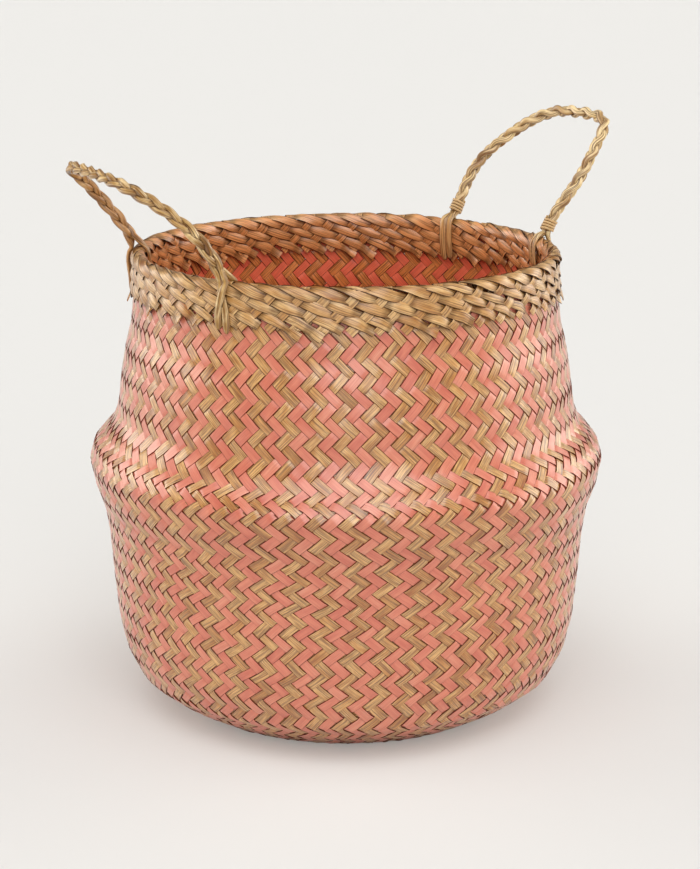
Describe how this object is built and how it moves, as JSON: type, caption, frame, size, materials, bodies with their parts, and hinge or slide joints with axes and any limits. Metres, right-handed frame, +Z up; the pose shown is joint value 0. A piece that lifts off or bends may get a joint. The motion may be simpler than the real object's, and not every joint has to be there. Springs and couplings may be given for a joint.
{
  "type": "handled basket",
  "caption": "Round plaited belly basket with a folded ridge, a bordered mouth and plaited rope handles that swing at the rim.",
  "frame": {"origin": "middle of the base mat's underside, on the floor", "axes": "+Z up through the mouth, -Y towards the pictured front, +X to its right"},
  "size_m": [0.3782, 0.36, 0.4088],
  "materials": {
    "dyed_strip": "matt dyed grass strip",
    "natural_strip": "matt dried grass strip",
    "rope": "matt plaited dried grass",
    "whipping_thread": "matt thin grass strip"
  },
  "bodies": {
    "basket": {"base_mat": "natural_strip", "belly_foot": "dyed_strip", "belly_wall": "dyed_strip", "shoulder_fold": "dyed_strip", "neck_wall": "dyed_strip", "rim_border_outer": "natural_strip", "rim_border_inner": "natural_strip", "rim_roll": "natural_strip", "left_back_rope_split": "rope", "left_back_outer_tail_1": "rope", "left_back_outer_tail_2": "rope", "left_back_inner_tail_1": "rope", "left_front_rope_split": "rope", "left_front_outer_tail_1": "rope", "left_front_outer_tail_2": "rope", "left_front_inner_tail_1": "rope", "right_front_rope_split": "rope", "right_front_outer_tail_1": "rope", "right_front_inner_tail_1": "rope", "right_front_inner_tail_2": "rope", "right_back_rope_split": "rope", "right_back_outer_tail_1": "rope", "right_back_inner_tail_1": "rope", "right_back_inner_tail_2": "rope"},
    "left_handle": {"left_handle_rope": "rope"},
    "right_handle": {"right_handle_rope": "rope", "right_front_whipping": "whipping_thread", "right_back_whipping": "whipping_thread"}
  },
  "joints": [
    {"name": "left_handle_swing", "type": "hinge", "parent": "basket", "child": "left_handle", "pos_m": [-0.10958, -0.05826, 0.3192], "axis": [0.4695, -0.8829, 0], "range_deg": [-108, 67]},
    {"name": "right_handle_swing", "type": "hinge", "parent": "basket", "child": "right_handle", "pos_m": [0.1074, 0.07976, 0.3192], "axis": [-0.5962, 0.8028, 0], "range_deg": [-112, 66]}
  ]
}
